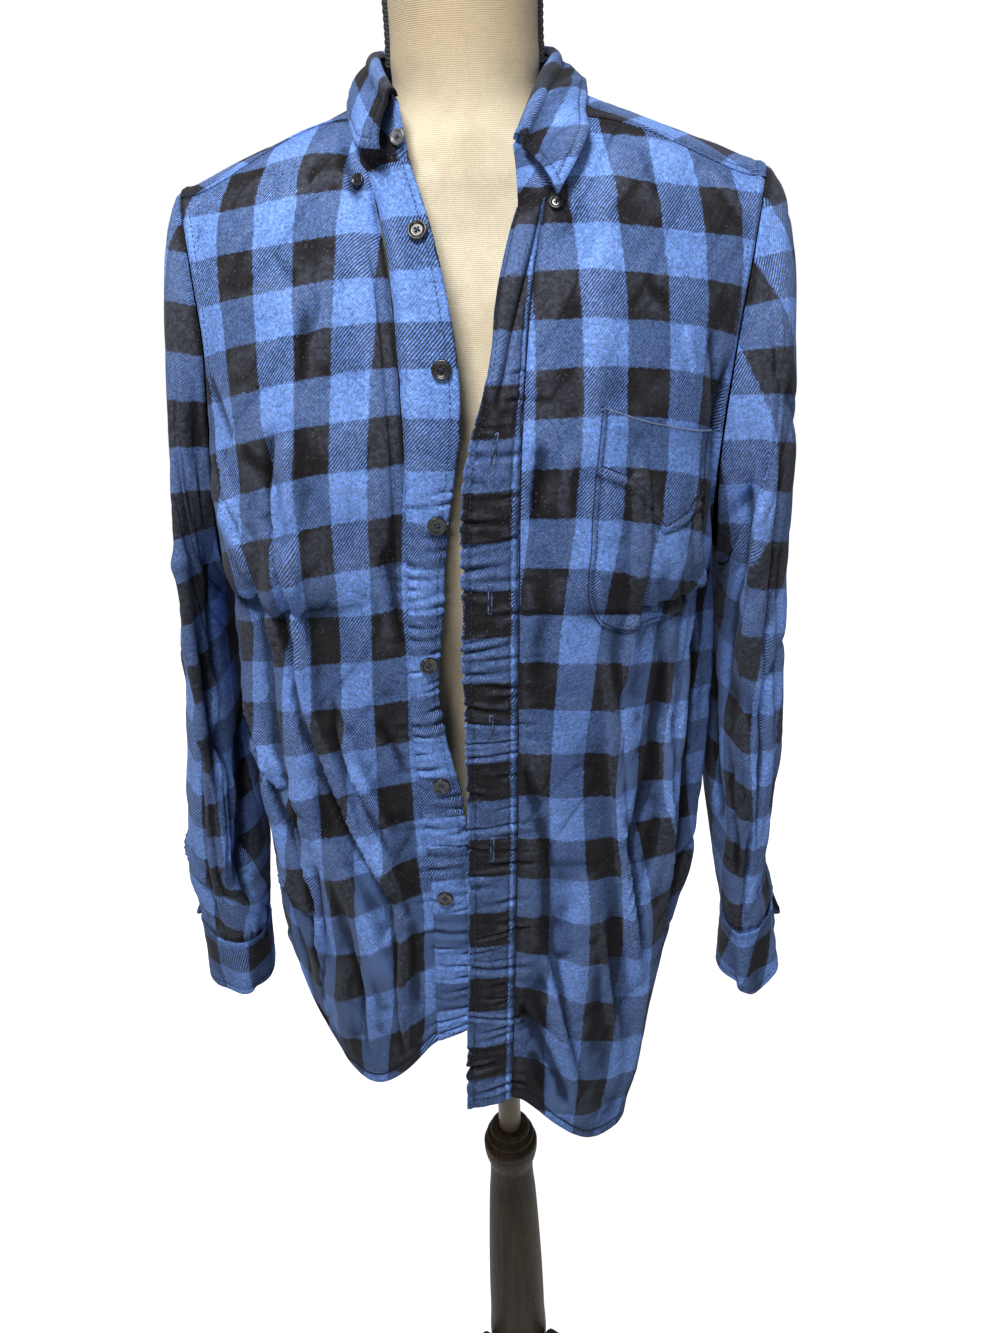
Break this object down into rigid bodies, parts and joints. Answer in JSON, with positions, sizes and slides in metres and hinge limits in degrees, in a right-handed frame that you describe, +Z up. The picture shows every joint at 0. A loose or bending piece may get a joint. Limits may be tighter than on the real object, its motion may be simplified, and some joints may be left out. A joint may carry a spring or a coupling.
{
  "type": "flannel shirt on dress form",
  "caption": "Long-sleeved buffalo-check flannel shirt with a button-down collar and a chest pocket, worn open on a limbless dress form with a turned pole stand.",
  "frame": {"origin": "centre of the overall box at floor level", "axes": "+Z up; +X to the wearer's left, the viewer's right; -Y is the front"},
  "size_m": [0.5712, 0.411, 1.53],
  "materials": {
    "flannel": "brushed cotton twill, blue and charcoal buffalo check, matt with a short nap",
    "button": "black, soft gloss",
    "stand_button": "grey, worn matt",
    "jersey": "cream rib jersey, matt",
    "braid": "black braid, matt",
    "dark_wood": "very dark brown lacquer, soft gloss",
    "pole": "beige paint, satin"
  },
  "bodies": {
    "root": {"back": "flannel", "button_band": "flannel", "collar_leaf": "flannel", "collar_point_button_left": "button", "collar_point_button_right": "button", "collar_stand": "flannel", "collar_stand_button": "stand_button", "cuff_button_left": "button", "cuff_button_right": "button", "cuff_left": "flannel", "cuff_right": "flannel", "form_neck_cap": "jersey", "form_neck_trim_left": "braid", "form_neck_trim_right": "braid", "form_torso": "jersey", "front_button_1": "button", "front_button_2": "button", "front_button_3": "button", "front_button_4": "button", "front_button_5": "button", "front_button_6": "button", "front_left": "flannel", "front_right": "flannel", "placket": "flannel", "pocket": "flannel", "sleeve_left": "flannel", "sleeve_right": "flannel", "stand_column": "dark_wood", "stand_foot_1": "dark_wood", "stand_foot_2": "dark_wood", "stand_foot_3": "dark_wood", "stand_leg_1": "dark_wood", "stand_leg_2": "dark_wood", "stand_leg_3": "dark_wood", "stand_pole": "pole", "yoke": "flannel"}
  },
  "joints": []
}
